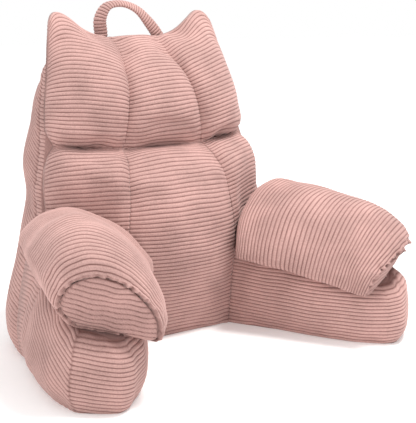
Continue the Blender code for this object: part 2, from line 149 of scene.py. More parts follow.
# By how many ribs the lines of the ribs stray from the rows across a pad, at each x
HEAD_TILT = ((-0.24, -0.09, 0.09, 0.24), (-0.2, 0.0, -1.6, -2.6))
LUMBAR_TILT = ((-0.26, -0.12, 0.12, 0.26), (-2.0, 0.0, 0.0, 0.4))
TILT_REACH, WAVER_DOWN = 0.05, 0.02  # from the horizontal seam, over which they start to stray and to waver
PAD_COLUMNS = 5  # of the coarse grid, in each channel
PAD_FINE = 8  # columns of the fine grid for each of those
CHANNEL_FULLNESS = 0.62  # power of the parabola across a channel: less is squarer
# The head pad's top corners: rise above the line from notch to outer edge, backward lean,
# and the powers that set where across the wing they peak and how fast they fade down the pad
EAR_RISE, EAR_LEAN, EAR_PEAK, EAR_FADE = 0.027, 0.5, 3.2, 4
PAD_THICKNESS = 0.008  # at the top edge, above the body
PAD_TOP_SHARE = 0.92  # of the head pad's height, up to where its back leaves the reclined plane
BARE_UP, BARE_FADE = 0.004, 0.01  # how far above the body the ribs of that back start, and how soon
# Gathers hang from the horizontal seam. They are weaker in the middle, down to a share of their height.
HEAD_GATHER, LUMBAR_GATHER = 0.0036, 0.0026
GATHER_SIZE, GATHER_REACH = 0.016, 0.011
GATHER_MIDDLE, GATHER_FULL_X = 0.3, 0.16
TUCK_HEIGHT, TUCK_SIZE, TUCK_REACH = 0.0010, 0.024, 0.007  # beside the seams of the channels
SEAM_FILL, SEAM_FILL_WIDTH = 0.0045, 0.007  # how much shallower those seams are than the coarse form's
STITCH_DEPTH, STITCH_IN, STITCH_WIDTH = 0.0014, 0.007, 0.0018  # the line sewn down each side of a pad
SEAM_QUIET, SEAM_QUIET_REACH = 0.30, 0.004  # how much lower the ribs are at a channel's seam
EDGE_QUIET, EDGE_QUIET_REACH = 0.5, 0.003  # and at a pad's edge

# The body. Each row: z, half-width at the front, depth behind the reclined plane, squareness of its sides
BODY_RIBS = 77
BODY_RIB_START = 0.10  # phase at the floor, where the side's ribs run on from those of the arms' bases
BODY_COLUMNS = 36  # of the coarse grid
BODY_FINE, BODY_ROWS = 5, 6  # columns and rows of the fine grid for each of the coarse one
BODY_TOP_ROWS = 40  # from the front to the back of its flat top
BODY_SECTIONS = (
    (0.000, 0.340, 0.204, 2.5),
    (0.022, 0.351, 0.213, 2.5),
    (0.055, 0.353, 0.213, 2.5),
    (0.100, 0.341, 0.200, 2.6),
    (0.200, 0.299, 0.185, 2.8),
    (0.260, 0.272, 0.176, 3.2),
    (0.320, 0.263, 0.165, 3.6),
    (0.400, 0.242, 0.138, 4.0),
    (0.500, 0.224, 0.098, 3.2),
    (0.560, 0.207, 0.066, 2.6),
    (0.580, 0.192, 0.050, 2.4),
)
BODY_TOP = BODY_SECTIONS[-1][0]
ROW_RISE = 0.35  # of the grid's rows towards the back, per metre of depth
LEVEL_FOOT, LEVEL_TOP = 0.50, 0.12  # shares of the height over which that rise grows and dies away
SIDE_SEAM_DEPTH = 0.026  # of the seam between the front strip and the side panel, behind the reclined plane
STRIP_FOOT, STRIP_FADE = 0.19, 0.05  # the height below which there is no such strip, and how soon it starts
STRIP_EDGE = 0.004  # over which the strip's ribs rise from its front edge
# Slope of the side panel's ribs towards the back: z, slope
SIDE_RIB_SLOPE = ((0.00, 0.18), (0.16, 0.24), (0.32, 0.50), (0.60, 0.60))
BACK_SEAM_SHARE = 0.62  # of the half-width, where the side panels meet the back panel
SIDE_SEAM_WIDTH, BACK_SEAM_WIDTH, BODY_SEAM_SINK = 0.004, 0.005, 0.0022
BODY_SEAM_FADE = 0.02  # below the top, over which the seams start

# The arms, drawn at +X and mirrored for the left side.
# The seat between base and bolster: its height at the front inner corner, and how much it rises
# for each metre outwards and for each metre towards the back
SEAT_CORNER = (0.250, -0.310)
SEAT_Z, SEAT_RISE_OUT, SEAT_RISE_BACK = 0.110, 0.25, 0.155
ARM_SPLAY = math.radians(27.0)
BASE_RIBS = 20
# Plan of the base at the floor: inner side from the lumbar pad to the front, front, outer side to the body
BASE_INNER = (
    (0.127, 0.008), (0.140, -0.036), (0.172, -0.104), (0.207, -0.188), (0.256, -0.266), (0.300, -0.308),
)
BASE_FRONT = ((0.300, -0.308), (0.324, -0.315), (0.358, -0.300), (0.400, -0.266))
BASE_OUTER = ((0.400, -0.266), (0.407, -0.205), (0.393, -0.085), (0.362, 0.018))
BASE_COLUMNS = (18, 6, 15)  # of the coarse grid, on each of those sides
BASE_FINE = 5
BASE_HELD = (0, 1, 2, 3, -1, -2)  # columns of the coarse grid that filling doesn't move
BASE_BULGE = 0.006  # of the sides, halfway up
# How far the sides draw in: at the foot below this share of the height, and at the top above this share
FOOT_INSET, FOOT_SHARE = 0.012, 0.35
TOP_INSET, TOP_SHARE = 0.018, 0.78
BROW, BROW_Y = 0.014, (-0.26, -0.20)  # how much more the front draws in at its top, and where that fades
CREASE_GAP, CREASE_DEPTH, CREASE_REACH = 0.0015, 0.05, 0.2  # beside the lumbar pad
FLANK_X, FLANK_Y = (0.30, 0.38), (-0.50, -0.06)  # where the outer side takes up the slope of the body
FRONT_RIB_SLOPE = 0.12
OUTER_RIB_SLOPE, OUTER_RIB_TURN = 0.65, 1.05  # at the front corner, and how fast it falls towards the back
OUTER_RIB_STRETCH = 0.22  # how much wider the ribs are at that corner than at the body
JOIN_Y = (-0.08, 0.01)  # where the outer side gives up its own bulge and insets
CORNER_SEAMS = (0.4, 1.0)  # how deep the seams at the front's inner and outer corner are
CORNER_SEAM_WIDTH, CORNER_SEAM_SINK = 0.004, 0.0015
SEAT_SHADE, SEAT_SHADE_REACH = 0.8, 0.006  # painted shade: how much of the ribs' lightness is lost just under the seat, where the bolster shades the base
LID_PAINTED_SHADE = 0.3  # of the base's top, where it shows past the bolster: painted shade, darker than a plain stretch, for the bolster's shadow on it

# The bolsters, of which the left one is filled higher towards its front. Each row: share of the length
# from the back, plan of the inner and outer edge, how far the row bows back in its middle, height of
# the section, forward lean of its top
BOLSTER_RIBS = {-1: 36, 1: 44}  # by side
RIB_SPREAD = 0.25  # how much closer than even the rows stand at the back
LEFT_ROWS = (
    (0.00, 0.106, -0.050, 0.320, 0.062, 0.024, 0.076, 0.00),
    (0.06, 0.104, -0.060, 0.340, 0.040, 0.026, 0.096, 0.00),
    (0.20, 0.134, -0.095, 0.360, -0.018, 0.026, 0.112, 0.03),
    (0.50, 0.178, -0.188, 0.390, -0.105, 0.012, 0.154, 0.15),
    (0.70, 0.195, -0.241, 0.400, -0.158, 0.004, 0.164, 0.26),
    (0.85, 0.212, -0.274, 0.404, -0.195, -0.002, 0.158, 0.34),
    (0.95, 0.228, -0.293, 0.404, -0.219, -0.002, 0.140, 0.38),
    (1.00, 0.236, -0.301, 0.400, -0.228, 0.000, 0.122, 0.40),
)
RIGHT_ROWS = (
    (0.00, 0.106, -0.050, 0.320, 0.062, 0.024, 0.076, 0.00),
    (0.06, 0.098, -0.060, 0.340, 0.040, 0.026, 0.099, 0.00),
    (0.20, 0.116, -0.095, 0.360, -0.018, 0.026, 0.113, 0.03),
    (0.50, 0.174, -0.188, 0.384, -0.105, 0.012, 0.122, 0.15),
    (0.70, 0.205, -0.238, 0.394, -0.158, 0.004, 0.122, 0.26),
    (0.85, 0.223, -0.268, 0.400, -0.195, -0.002, 0.111, 0.34),
    (0.95, 0.234, -0.287, 0.401, -0.219, -0.006, 0.090, 0.44),
    (1.00, 0.239, -0.295, 0.398, -0.226, -0.009, 0.074, 0.50),
)
# Their sections: share of the width from the inner edge, and share of the height
LEFT_SECTION = (
    (0.34, 0.00), (0.09, 0.00), (0.01, 0.12), (0.00, 0.34), (0.08, 0.58), (0.21, 0.80), (0.35, 0.94),
    (0.49, 1.00), (0.63, 0.99), (0.80, 0.87), (0.95, 0.60), (0.99, 0.26), (0.84, 0.00),
)
RIGHT_SECTION = (
    (0.34, 0.00), (0.09, 0.00), (0.02, 0.10), (0.00, 0.26), (0.04, 0.46), (0.12, 0.64), (0.24, 0.81),
    (0.38, 0.93), (0.53, 1.00), (0.69, 0.98), (0.84, 0.83), (0.96, 0.55), (0.98, 0.24), (0.84, 0.00),
)
# How far the lower inner edge droops where it overhangs the base. Each row: share of the length, droop
LEFT_DROOP = ((0.00, 0.000), (0.85, 0.000), (0.95, 0.006), (1.00, 0.012))
RIGHT_DROOP = ((0.00, 0.000), (0.15, 0.001), (0.50, 0.008), (0.70, 0.012), (0.85, 0.015), (1.00, 0.018))
DROOP_SHARE, DROOP_UP = 0.14, 0.6  # shares of the width and of the height that it reaches
BOLSTERS = {-1: (LEFT_ROWS, LEFT_SECTION, LEFT_DROOP), 1: (RIGHT_ROWS, RIGHT_SECTION, RIGHT_DROOP)}  # by side
BOLSTER_COLUMNS, BOLSTER_UNDER, BOLSTER_FINE = 23, 6, 4
# The rolled lip round the end panel. Each row: how far in from the rim, how far forward.
LIP = (
    (0.0000, 0.0000), (0.0004, 0.0014), (0.0015, 0.0026), (0.0030, 0.0030),
    (0.0044, 0.0022), (0.0050, 0.0004), (0.0065, -0.0020),
)
LIP_WAVE, LIP_WAVE_SPREAD, LIP_WAVE_IN = 0.0024, 0.30, 0.4  # at the rim, more for each metre in, and sideways
LIP_PAINTED_SHADING = (0.45, 0.4)  # of the lip, and how much its gathers change it: painted light on gathers that stand out, painted shade in those that sink
RUFFLE = {-1: 1.0, 1: 1.8}  # strength of the gathers at the front, by side
RUFFLE_WAVES = (23, 31, 41, 53)  # in one turn round the rim
RIM_GATHER, RIM_GATHER_REACH = 0.0016, 0.010
CRUMPLE_HEIGHT, CRUMPLE_SIZE, CRUMPLE_REACH = 0.0019, 0.022, 0.016  # behind the rim
PANEL_ROWS, PANEL_COLUMNS = 90, 36
PANEL_RIM_FINE = 4
PANEL_INSET = 0.008  # from the bolster's rim
PANEL_EDGE, PANEL_SWELL = 0.0010, 0.0060  # thickness at its rim, and what its middle adds
PANEL_RIB_PITCH = 0.0102
PANEL_RIB_START = 4  # how fast its ribs rise with its swell

# The handle
HANDLE_RIBS = 44
HANDLE_WIDTH, HANDLE_THICKNESS = 0.026, 0.010
HANDLE_TWIST = math.radians(66.0)  # halfway along, fading sooner on the right
HANDLE_SIDES = 20
# The middle of the strap: x, y, z
HANDLE_PATH = (
    (-0.065, 0.203, 0.5805), (-0.068, 0.203, 0.620), (-0.069, 0.203, 0.652),
    (-0.054, 0.203, 0.676), (-0.021, 0.203, 0.683), (0.019, 0.203, 0.671),
    (0.050, 0.203, 0.643), (0.074, 0.203, 0.613), (0.091, 0.203, 0.5805),
)

# The filling
SIM_FRAMES = 20
SIM_PRESSURE = 4.0
SIM_QUALITY, SIM_STIFFNESS, SIM_BENDING, SIM_GROWTH = 5, 20, 0.3, 0.03
PAD_SWELL, BODY_SWELL, BASE_SWELL, BOLSTER_SWELL = 0.0035, 0.0020, 0.0010, 0.0018  # at most

# The photo's view, in the frame that the pieces are drawn in
CAMERA_AT = (-1.1236, -1.7457, 0.6958)
CAMERA_AIM = (0.069, 0.0, 0.253)
FOCAL_LENGTH, SENSOR = 87.0, 36.0

# The studio
FLOOR_REACH = 12.0
LIGHTS_AIM = (0.0, -BODY_MIDDLE_Y, 0.25)
# The cloths' colours, on the crests of the ribs and in the grooves between them: painted light and shade of
# the ribs
CLOTHS = {
    "pad_cloth": ((0.47, 0.286, 0.260, 1), (0.122, 0.048, 0.040, 1)),
    # a little darker than the pads' cloth: painted shade of the body and the left base
    "side_cloth": ((0.45, 0.272, 0.246, 1), (0.115, 0.045, 0.038, 1)),
    # darker still: painted shade of the end panels
    "painted_shade_end_cloth": ((0.40, 0.238, 0.215, 1), (0.090, 0.034, 0.028, 1)),
    # lighter: painted light on the right base
    "painted_light_side_cloth": ((0.51, 0.308, 0.280, 1), (0.118, 0.045, 0.038, 1)),
}
CREST_START = 0.72  # lightness of the ribs from which they have the crest's colour


# ---- curves and grids


def spline(table, at):
    """Smooth values at the given positions, through rows that start with their own position."""
    table = np.asarray(table, float)
    knots, values = table[:, 0], table[:, 1:]
    slopes = np.gradient(values, knots, axis=0)
    at = np.clip(np.atleast_1d(at), knots[0], knots[-1])
    i = np.clip(np.searchsorted(knots, at, side="right") - 1, 0, len(knots) - 2)
    step = (knots[i + 1] - knots[i])[:, None]
    t = ((at - knots[i]) / (knots[i + 1] - knots[i]))[:, None]
    start = values[i] * (1 + 2 * t) * (1 - t) ** 2 + values[i + 1] * t**2 * (3 - 2 * t)
    turn = slopes[i] * t * (1 - t) ** 2 - slopes[i + 1] * t**2 * (1 - t)
    return start + turn * step


def along(points, count):
    """That many points at even distances along a smooth line through the given ones."""
    points = np.asarray(points, float)
    lengths = np.linalg.norm(np.diff(points, axis=0), axis=1)
    table = np.column_stack([np.r_[0, np.cumsum(lengths)], points])
    fine = spline(table, np.linspace(0, table[-1, 0], 400))
    run = np.r_[0, np.cumsum(np.linalg.norm(np.diff(fine, axis=0), axis=1))]
    at = np.linspace(0, run[-1], count)
    return np.column_stack([np.interp(at, run, axis) for axis in fine.T])


def refine(field, rows, columns):
    """A grid of values laid smoothly over a finer grid, with that many steps for each step."""
    for times in (rows, columns):
        count = len(field)
        table = np.column_stack([np.arange(count), field.reshape(count, -1)])
        finer = spline(table, np.linspace(0, count - 1, (count - 1) * times + 1))
        field = np.swapaxes(finer.reshape((-1,) + field.shape[1:]), 0, 1)
    return field


def recline(z):
    return RECLINE_FOOT + RECLINE_SLOPE * z


def unit(vectors):
    return vectors / np.maximum(np.linalg.norm(vectors, axis=-1, keepdims=True), 1e-12)


def mirrored(points):
    return np.asarray(points) * (-1, 1, 1)


def steps(grid, axis, ring=False):
    """Differences between neighbours along an axis; a ring's first and last column are one."""
    if not ring:
        return np.gradient(grid, axis=axis)
    inner = grid[:, :-1]
    change = (np.roll(inner, -1, axis=1) - np.roll(inner, 1, axis=1)) / 2
    return np.concatenate([change, change[:, :1]], axis=1)


def outward(grid, ring=False):
    """Unit normals of a grid, on the side away from its middle."""
    normal = unit(np.cross(steps(grid, 1, ring), steps(grid, 0)))
    away = grid - grid.reshape(-1, 3).mean(axis=0) - (0, 0.1 * (not ring), 0)
    return normal * (1 if (normal * away).sum() > 0 else -1)


def run_along(grid, axis):
    """Distance along the rows or columns of a grid."""
    length = np.linalg.norm(np.diff(grid, axis=axis), axis=-1)
    pad = [(0, 0), (0, 0)]
    pad[axis] = (1, 0)
    return np.pad(np.cumsum(length, axis=axis), pad)


def ripple(points, size, seed):
    """Smooth uneven values from -1 to 1 over points in space, about that far from bump to bump."""
    rng = np.random.default_rng(seed)
    total = 0
    for _ in range(7):
        direction = unit(rng.normal(size=3)) * rng.uniform(0.6, 1.5)
        total = total + np.sin(points @ (direction * 2 * math.pi / size) + rng.uniform(0, 2 * math.pi))
    return total / 4


def uneven(points, height_and_size, seed):
    height, size = height_and_size
    return height * ripple(points, size, seed)


def bell(distance, width):
    """1 at no distance, and about a third at that width."""
    return np.exp(-((distance / width) ** 2))


def rib_relief(phase):
    """Height of the ribs over a phase that counts them: crests at whole numbers."""
    return np.abs(np.cos(math.pi * phase)) ** CREST_SHARPNESS


# ---- meshes


def weld(patches):
    """The points of all patches with coinciding ones joined, and the new number of each old point."""
    points = np.concatenate([patch.reshape(-1, 3) for patch in patches])
    _, first, number = np.unique(np.round(points, 6), axis=0, return_index=True, return_inverse=True)
    return points[first], number.reshape(-1)


def grid_faces(rows, columns, start):
    corner = np.arange(rows * columns).reshape(rows, columns) + start
    quads = [corner[:-1, :-1], corner[:-1, 1:], corner[1:, 1:], corner[1:, :-1]]
    return np.stack(quads, axis=-1).reshape(-1, 4)


def border_strips(front, back):
    """Narrow grids that join the borders of two grids of one size."""
    strips = [np.stack([front[row], back[row]]) for row in (0, -1)]
    return strips + [np.stack([front[:, column], back[:, column]]) for column in (0, -1)]


def zip_faces(a, b):
    """Triangles between two runs of point numbers, as three-cornered quads."""
    faces = []
    i = j = 0
    while i < len(a) - 1 or j < len(b) - 1:
        if j == len(b) - 1 or (i < len(a) - 1 and (i + 1) * (len(b) - 1) <= (j + 1) * (len(a) - 1)):
            faces.append((a[i], a[i + 1], b[j], b[j]))
            i += 1
        else:
            faces.append((a[i], b[j + 1], b[j], b[j]))
            j += 1
    return np.array(faces)


class Shell:
    """A closed body gathered from grids and zips, each point with its rib height, which sets the cloth's
    painted light and shade.
    """

    def __init__(self):
        self.points, self.ribs, self.faces, self.count = [], [], [], 0

    def add_grid(self, grid, rib=None):
        self.faces.append(grid_faces(grid.shape[0], grid.shape[1], self.count))
        self.points.append(grid.reshape(-1, 3))
        plain = np.full(grid.shape[:2], PLAIN_RIB)
        self.ribs.append((plain if rib is None else rib).reshape(-1))
        self.count += grid.shape[0] * grid.shape[1]

    def add_zip(self, first, second):
        a = np.arange(len(first)) + self.count
        b = np.arange(len(second)) + self.count + len(first)
        self.faces.append(zip_faces(a, b))
        self.points.append(np.concatenate([first, second]))
        self.ribs.append(np.full(len(first) + len(second), PLAIN_RIB))
        self.count += len(first) + len(second)

    def mesh(self, name):
        """The welded mesh, with its ribs' height in the attribute 'rib', which the cloth's colour paints as
        light and shade.
        """
        points, number = weld(self.points)
        faces = number[np.concatenate(self.faces)]
        ribs = np.zeros(len(points))
        ribs[number] = np.concatenate(self.ribs)
        loops = []
        for face in faces:
            corners = list(dict.fromkeys(face.tolist()))
            if len(corners) > 2:
                loops.append(corners)
        mesh = bpy.data.meshes.new(name)
        mesh.from_pydata(points.tolist(), [], loops)
        mesh.attributes.new("rib", "FLOAT", "POINT").data.foreach_set("value", ribs.astype(np.float32))
        mesh.validate()
        mesh.update()
        return mesh


def new_object(name, data):
    made = bpy.data.objects.new(name, data)
    bpy.context.scene.collection.objects.link(made)
    return made


def add_piece(name, shell, nodes, material):
    mesh = shell.mesh(name)
    bm = bmesh.new()
    bm.from_mesh(mesh)
    bmesh.ops.recalc_face_normals(bm, faces=bm.faces)
    bm.to_mesh(mesh)
    bm.free()
    mesh.transform(Matrix.Translation((0, -BODY_MIDDLE_Y, 0)))
    mesh.shade_smooth()
    mesh.materials.append(material)
    piece = new_object(name, mesh)
    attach(piece, "root")
    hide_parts(*nodes)
    return piece


def swelling(patches, held, cap):
    """How far each point of the first of a closed set of coarse grids moves when a cloth simulation fills it.

    The weights say where that grid is held. The other grids are held everywhere. No point moves past the cap.
    """
    shell = Shell()
    for patch in patches:
        shell.add_grid(patch)
    _, number = weld(shell.points)
    mesh = shell.mesh("filling")
    count = len(mesh.vertices)
    start = np.empty(count * 3)
    mesh.vertices.foreach_get("co", start)
    bag = new_object("filling", mesh)
    still = np.zeros(count)
    np.maximum.at(still, number[: held.size], held.reshape(-1))
    still[number[held.size :]] = 1
    group = bag.vertex_groups.new(name="held")
    for index, weight in enumerate(still):
        group.add([index], float(weight), "REPLACE")
    cloth = bag.modifiers.new("cloth", "CLOTH")
    settings = cloth.settings
    settings.vertex_group_mass = "held"
    settings.use_pressure = True
    settings.uniform_pressure_force = SIM_PRESSURE
    settings.effector_weights.gravity = 0
    settings.quality = SIM_QUALITY
    settings.tension_stiffness = settings.compression_stiffness = SIM_STIFFNESS
    settings.bending_stiffness = SIM_BENDING
    settings.shrink_min = -SIM_GROWTH
    cloth.collision_settings.use_collision = False
    scene = bpy.context.scene
    for step in range(1, SIM_FRAMES + 1):
        scene.frame_set(step)
    moved = bag.evaluated_get(bpy.context.evaluated_depsgraph_get()).to_mesh()
    end = np.empty(count * 3)
    moved.vertices.foreach_get("co", end)
    shift = (end - start).reshape(-1, 3)
    far = np.linalg.norm(shift, axis=1, keepdims=True)
    shift *= np.minimum(1, cap / np.maximum(far, 1e-9))
    bpy.data.objects.remove(bag)
    scene.frame_set(1)
    return shift[number[: held.size]].reshape(patches[0].shape)


def pinned(grid, columns):
    """Weights for a grid held along its first and last row and those columns."""
    weights = np.zeros(grid.shape[:2])
    weights[[0, -1]] = 1
    weights[:, list(columns)] = 1
    return weights


# ---- the pads


def arch(t):
    """Height of a filled channel across its width, 0 at both seams and 1 in the middle."""
    return (4 * t * (1 - t)) ** CHANNEL_FULLNESS


def channel_shares(count):
    """Shares across a channel, closer together near its seams."""
    t = np.linspace(0, 1, count + 1)
    return 0.5 * t + 0.25 * (1 - np.cos(math.pi * t))


def channel_points(inner, outer, crown, shares):
    """Rows of points across one channel, from its inner to its outer seam."""
    t = shares[None, :, None]
    chord = inner[:, None] * (1 - t) + outer[:, None] * t
    run = np.gradient(inner + outer, axis=0)
    forward = unit(np.stack([0 * run[:, 0], -run[:, 2], run[:, 1]], axis=-1))
    forward *= np.sign(-forward[:, 1:2] + 1e-9)
    return chord + crown[:, None, None] * arch(t) * forward[:, None]


def pad_front(edge, seam, crown, rows, columns, crowd=0):
    """The front of a pad: side, middle and side channel, in rows along the ribs."""
    even = np.linspace(0, 1, rows + 1)
    at = (1 + crowd) * even - crowd * (1 - np.exp(-even / CROWD_REACH)) / (1 - math.exp(-1 / CROWD_REACH))
    edge_line, seam_line = spline(edge, at), spline(seam, at)
    middle_crown, side_crown = spline(crown, at).T
    shares = channel_shares(columns)
    side = channel_points(seam_line, edge_line, side_crown, shares)
    middle = channel_points(mirrored(seam_line), seam_line, middle_crown, shares)
    return np.concatenate([mirrored(side[:, :0:-1]), middle, side[:, 1:]], axis=1)


def head_front(rows, columns):
    """The head pad's front, with its top corners raised, less and less down its height."""
    front = pad_front(HEAD_EDGE, HEAD_SEAM, HEAD_CROWN, rows, columns)
    lift = EAR_RISE * np.sin(np.pi * channel_shares(columns) ** EAR_PEAK)
    across = np.r_[lift[:0:-1], np.zeros(columns + 1), lift[1:]]
    rise = np.outer(np.linspace(0, 1, len(front)) ** EAR_FADE, across)
    front[..., 2] += rise
    front[..., 1] += EAR_LEAN * rise
    return front


def lumbar_front(rows, columns):
    front = pad_front(LUMBAR_EDGE, LUMBAR_SEAM, LUMBAR_CROWN, rows, columns, CROWD)
    front[0, :, 2] -= GAP
    front[..., 2] = np.maximum(front[..., 2], 0)
    return front


def pad_back(front, shares):
    """The back of a pad: on the reclined plane, and a little behind the top edge above the body."""
    levels = shares * (len(front) - 1)
    edge = np.column_stack([np.interp(levels, np.arange(len(front)), axis) for axis in front[:, -1].T])
    across = front[..., 0] / front[:, -1:, 0]
    drop = front[..., 2] - front[:, -1:, 2]
    share = shares[:, None]
    x = edge[:, :1] * (across[0] * (1 - share) + across[-1] * share)
    z = edge[:, 2:] + drop[0] * (1 - share) + drop[-1] * share
    y = recline(z) - GAP
    behind = front[-1, :, 1] + PAD_THICKNESS - y[-1]
    leaving = np.clip((share - PAD_TOP_SHARE) / (1 - PAD_TOP_SHARE), 0, 1)
    y = y + leaving * np.where(z[-1] > BODY_TOP, behind, 0)
    return np.stack([x, y, z], axis=-1)


def close_pad(shell, front, back):
    """Joins the borders of a pad's front and back."""
    for row in (0, -1):
        shell.add_grid(np.stack([front[row], back[row]]))
    for column in (0, -1):
        rim = np.concatenate([front[:1, column], back[:, column], front[-1:, column]])
        shell.add_zip(front[:, column], rim)


def pad_fill(coarse, ribs):
    """How far filling moves the points of a pad's fine front."""
    back = pad_back(coarse, np.linspace(0, 1, ribs + 1))
    patches = [coarse, back] + border_strips(coarse, back)
    held = pinned(coarse, (0, PAD_COLUMNS, 2 * PAD_COLUMNS, -1))
    return refine(swelling(patches, held, PAD_SWELL), ROWS_PER_RIB, PAD_FINE)


def dress_pad(front, ribs, tilt, gather, seed):
    """A pad's front with its lumps, puckers and ribs, and the height of the ribs."""
    normal = outward(front)
    columns = front.shape[1] // 3
    down, across = run_along(front, 0), run_along(front, 1)
    from_seam = np.min([abs(across - across[:, i : i + 1]) for i in (columns, 2 * columns)], axis=0)
    from_edge = np.minimum(across, across[:, -1:] - across)
    inner = np.clip(np.minimum(from_edge, down) / LUMPS_IN, 0, 1)
    push = inner * uneven(front, LUMPS["pad"], seed)
    gather = gather * np.clip(abs(front[..., 0]) / GATHER_FULL_X, GATHER_MIDDLE, 1)
    push += gather * np.exp(-down / GATHER_REACH) * ripple(front * (1, 0.2, 0.1), GATHER_SIZE, seed + 1)
    tucks = TUCK_HEIGHT * ripple(front * (0.1, 0.4, 1), TUCK_SIZE, seed + 2)
    push += tucks * np.exp(-from_seam / TUCK_REACH)
    push += SEAM_FILL * bell(from_seam, SEAM_FILL_WIDTH)
    push -= STITCH_DEPTH * bell(from_edge - STITCH_IN, STITCH_WIDTH)
    row = np.linspace(0, ribs, len(front))[:, None]
    stray = np.interp(front[..., 0], *tilt) * np.clip(down / TILT_REACH, 0, 1)
    waver = uneven(front, WAVER["pad"], seed + 3) * np.clip(down / WAVER_DOWN, 0, 1)
    rib = rib_relief(row + 0.5 + stray + waver)
    quiet = 1 - SEAM_QUIET * np.exp(-from_seam / SEAM_QUIET_REACH)
    quiet -= EDGE_QUIET * np.exp(-from_edge / EDGE_QUIET_REACH)
    push += RIB_HEIGHT * quiet * rib
    return front + push[..., None] * normal, rib * quiet


def make_head_pad(material):
    front = head_front(HEAD_RIBS * ROWS_PER_RIB, PAD_COLUMNS * PAD_FINE)
    front += pad_fill(head_front(HEAD_RIBS, PAD_COLUMNS), HEAD_RIBS)
    front, rib = dress_pad(front, HEAD_RIBS, HEAD_TILT, HEAD_GATHER, SEEDS["head"])
    shares = np.r_[np.linspace(0, 0.6, 6), np.linspace(0.62, 1, 13 * ROWS_PER_RIB)]
    back = pad_back(front, shares)
    back_rib = rib_relief(shares[:, None] * HEAD_RIBS + 0 * back[..., 0])
    bare = np.clip((back[..., 2] - BODY_TOP - BARE_UP) / BARE_FADE, 0, 1)
    back[..., 1] += RIB_HEIGHT * bare * back_rib
    shell = Shell()
    shell.add_grid(front, rib)
    shell.add_grid(back, back_rib * bare)
    close_pad(shell, front, back)
    return add_piece("head_pad_cloth", shell, ("head_pad",), material)


def make_lumbar_pad(material):
    front = lumbar_front(LUMBAR_RIBS * ROWS_PER_RIB, PAD_COLUMNS * PAD_FINE)
    front += pad_fill(lumbar_front(LUMBAR_RIBS, PAD_COLUMNS), LUMBAR_RIBS)
    front, rib = dress_pad(front, LUMBAR_RIBS, LUMBAR_TILT, LUMBAR_GATHER, SEEDS["lumbar"])
    front[..., 2] = np.maximum(front[..., 2], 0)
    front[..., 1] = np.minimum(front[..., 1], recline(front[..., 2]) - 2 * GAP)
    back = pad_back(front, np.linspace(0, 1, 12))
    shell = Shell()
    shell.add_grid(front, rib)
    shell.add_grid(back)
    close_pad(shell, front, back)
    return add_piece("lumbar_pad_cloth", shell, ("lumbar_pad",), material)


# ---- the body


def body_ring(half_width, depth, squareness, count):
    """Plan of the body behind the reclined plane, in points at even distances."""
    angles = np.linspace(0, math.pi, 721)
    power = 2 / squareness
    x = half_width * np.sign(np.cos(angles)) * np.abs(np.cos(angles)) ** power
    y = depth * np.sin(angles) ** power
    run = np.r_[0, np.cumsum(np.hypot(np.diff(x), np.diff(y)))]
    at = np.linspace(0, run[-1], count)
    return np.interp(at, run, x), np.interp(at, run, y)


def body_grid(rows, columns):
    """The body's sides and back: rows up its height, from its side at +X round the back."""
    levels = np.linspace(0, BODY_TOP, rows + 1)
    rings = []
    for z, (half_width, depth, squareness) in zip(levels, spline(BODY_SECTIONS, levels)):
        x, y = body_ring(half_width, depth, squareness, columns + 1)
        fan = min(1.0, z / (LEVEL_FOOT * BODY_TOP)) * min(1.0, (BODY_TOP - z) / (LEVEL_TOP * BODY_TOP))
        heights = z + ROW_RISE * fan * y
        rings.append(np.column_stack([x, recline(heights) + y, heights]))
    return np.array(rings)


def cap_rows(ring, count):
    """Rows of points across a ring, from its first half to its second."""
    half = len(ring) // 2
    low, high = ring[: half + 1], ring[len(ring) - half - 1 :][::-1]
    shares = np.linspace(0, 1, count)[:, None, None]
    return low * (1 - shares) + high * shares


